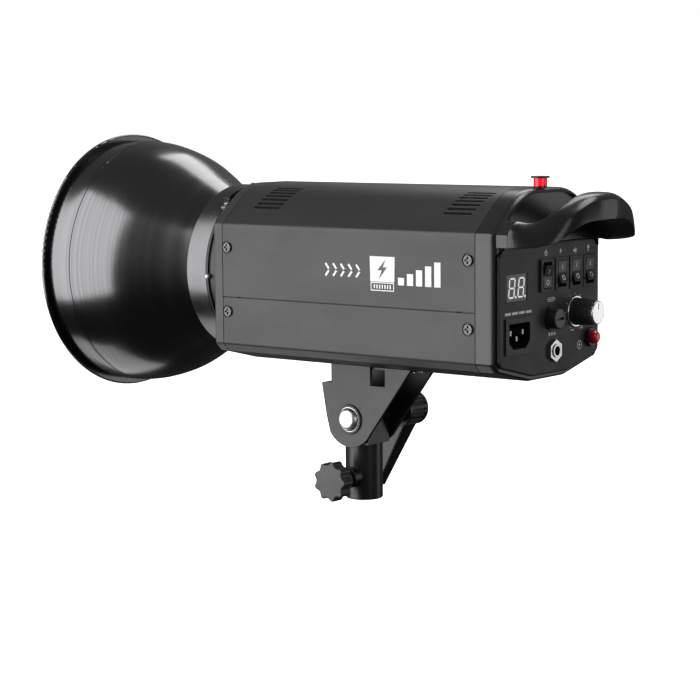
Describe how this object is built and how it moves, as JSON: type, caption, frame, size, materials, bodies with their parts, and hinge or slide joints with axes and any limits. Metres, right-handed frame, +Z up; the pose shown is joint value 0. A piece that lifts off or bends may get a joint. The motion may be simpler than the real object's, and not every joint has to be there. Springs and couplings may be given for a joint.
{
  "type": "monolight studio strobe",
  "caption": "Studio monolight strobe with a flared reflector, slab-sided housing, rear control panel, carrying handle, tilt bracket and stand socket.",
  "frame": {"origin": "centre of the mouth of the stand socket, the lowest face of the round socket", "axes": "+Z up along the stand; light leaves toward -Y; the control panel faces +Y; +X is the side of the star knob"},
  "size_m": [0.192, 0.4296, 0.258],
  "materials": {
    "shell_paint": "satin dark grey paint",
    "frame_paint": "satin grey paint",
    "grey_moulding": "fine grained grey moulding",
    "chrome": "polished",
    "black_moulding": "glossy black moulding",
    "panel_grey": "fine matt",
    "display_black": "smooth black",
    "segment_white": "lit white",
    "switch_black": "polished black",
    "tube_glass": "clear",
    "steel": "brushed",
    "knob_plastic": "grained",
    "red_button": "smooth",
    "red_lens": "clear red",
    "board_green": "solder mask",
    "reflector_black": "satin black over spun metal",
    "collar_metal": "spun",
    "socket_paint": "satin black paint",
    "ceramic": "glazed ceramic",
    "bulb_glass": "frosted",
    "can_blue": "sleeved can",
    "bracket_paint": "satin grey paint",
    "washer_fibre": "fibre",
    "lever_plastic": "grained"
  },
  "bodies": {
    "stand_mount": {"stand_socket": "socket_paint", "friction_washers": "washer_fibre"},
    "lamp": {"upper_cover": "shell_paint", "lower_cover": "shell_paint", "front_frame": "frame_paint", "rear_housing": "grey_moulding", "cover_screws": "chrome", "handle": "black_moulding", "rear_panel": "panel_grey", "display_module": "display_black", "display_segments": "segment_white", "rocker_bezels": "panel_grey", "mains_inlet": "switch_black", "inlet_pins": "chrome", "fuse_holder": "switch_black", "fuse": "tube_glass", "sync_jack": "chrome", "jack_nut": "chrome", "potentiometer": "steel", "dial_ring": "chrome", "test_bezel": "switch_black", "photocell_lens": "red_lens", "photocell_cap": "switch_black", "photocell_base": "board_green", "mount_drum": "collar_metal", "head_plate": "ceramic", "flash_tube": "tube_glass", "tube_sockets": "ceramic", "lamp_socket": "ceramic", "modelling_lamp": "bulb_glass", "fan_frame": "switch_black", "chassis_tray": "steel", "board_posts": "steel", "main_board": "board_green", "capacitors": "can_blue", "transformer": "steel", "tilt_bracket": "bracket_paint", "bracket_screws": "steel", "pivot_bolt": "chrome", "lever_washer": "steel"},
    "clamp": {"clamp_screw": "steel", "clamp_knob": "knob_plastic"},
    "lever": {"tilt_lever": "lever_plastic", "lever_insert": "steel", "lever_screw": "chrome"},
    "reflector": {"reflector_dish": "reflector_black", "reflector_collar": "collar_metal"},
    "lock": {"lock_ring": "socket_paint", "lock_lever": "black_moulding", "lock_latch": "chrome"},
    "fan": {"fan_rotor": "switch_black"},
    "dial": {"dial_shaft": "steel", "power_knob": "knob_plastic", "knob_cap": "chrome"},
    "rocker_a": {"rocker_1": "switch_black"},
    "rocker_b": {"rocker_2": "switch_black"},
    "rocker_c": {"rocker_3": "switch_black"},
    "rocker_d": {"rocker_4": "switch_black"},
    "test_key": {"test_button": "red_button"},
    "fuse_cover": {"fuse_cap": "switch_black"}
  },
  "joints": [
    {"name": "lamp_tilt", "type": "hinge", "parent": "stand_mount", "child": "lamp", "pos_m": [0, 0, 0.058], "axis": [1, 0, 0], "range_deg": [-80, 45]},
    {"name": "tilt_lever_turn", "type": "hinge", "parent": "lamp", "child": "lever", "pos_m": [0, 0, 0.058], "axis": [1, 0, 0], "range_deg": [-50, 100]},
    {"name": "clamp_turn", "type": "hinge", "parent": "stand_mount", "child": "clamp", "pos_m": [0, 0, 0.0165], "axis": [1, 0, 0], "range_deg": [0, 720]},
    {"name": "reflector_pull", "type": "slide", "parent": "lamp", "child": "reflector", "axis": [0, -1, 0], "range_m": [0, 0.04]},
    {"name": "lock_turn", "type": "hinge", "parent": "lamp", "child": "lock", "pos_m": [0, 0, 0.161], "axis": [0, -1, 0], "range_deg": [0, 14]},
    {"name": "fan_spin", "type": "hinge", "parent": "lamp", "child": "fan", "pos_m": [0, -0.0475, 0.161], "axis": [0, 1, 0], "continuous": true},
    {"name": "dial_turn", "type": "hinge", "parent": "lamp", "child": "dial", "pos_m": [-0.0304, 0.16, 0.1394], "axis": [0, 1, 0], "range_deg": [-150, 150]},
    {"name": "rocker_a_tip", "type": "hinge", "parent": "lamp", "child": "rocker_a", "pos_m": [0.0052, 0.152, 0.166], "axis": [1, 0, 0], "range_deg": [0, 16]},
    {"name": "rocker_b_tip", "type": "hinge", "parent": "lamp", "child": "rocker_b", "pos_m": [-0.0122, 0.152, 0.166], "axis": [1, 0, 0], "range_deg": [-16, 0]},
    {"name": "rocker_c_tip", "type": "hinge", "parent": "lamp", "child": "rocker_c", "pos_m": [-0.0296, 0.152, 0.166], "axis": [1, 0, 0], "range_deg": [-16, 0]},
    {"name": "rocker_d_tip", "type": "hinge", "parent": "lamp", "child": "rocker_d", "pos_m": [-0.0464, 0.152, 0.166], "axis": [1, 0, 0], "range_deg": [-16, 0]},
    {"name": "test_press", "type": "slide", "parent": "lamp", "child": "test_key", "axis": [0, -1, 0], "range_m": [0, 0.0015], "stiffness_N_per_m": 400, "springref_m": -0.0005},
    {"name": "fuse_cap_turn", "type": "hinge", "parent": "lamp", "child": "fuse_cover", "pos_m": [-0.0011, 0.16, 0.1372], "axis": [0, 1, 0], "range_deg": [0, 90]}
  ]
}
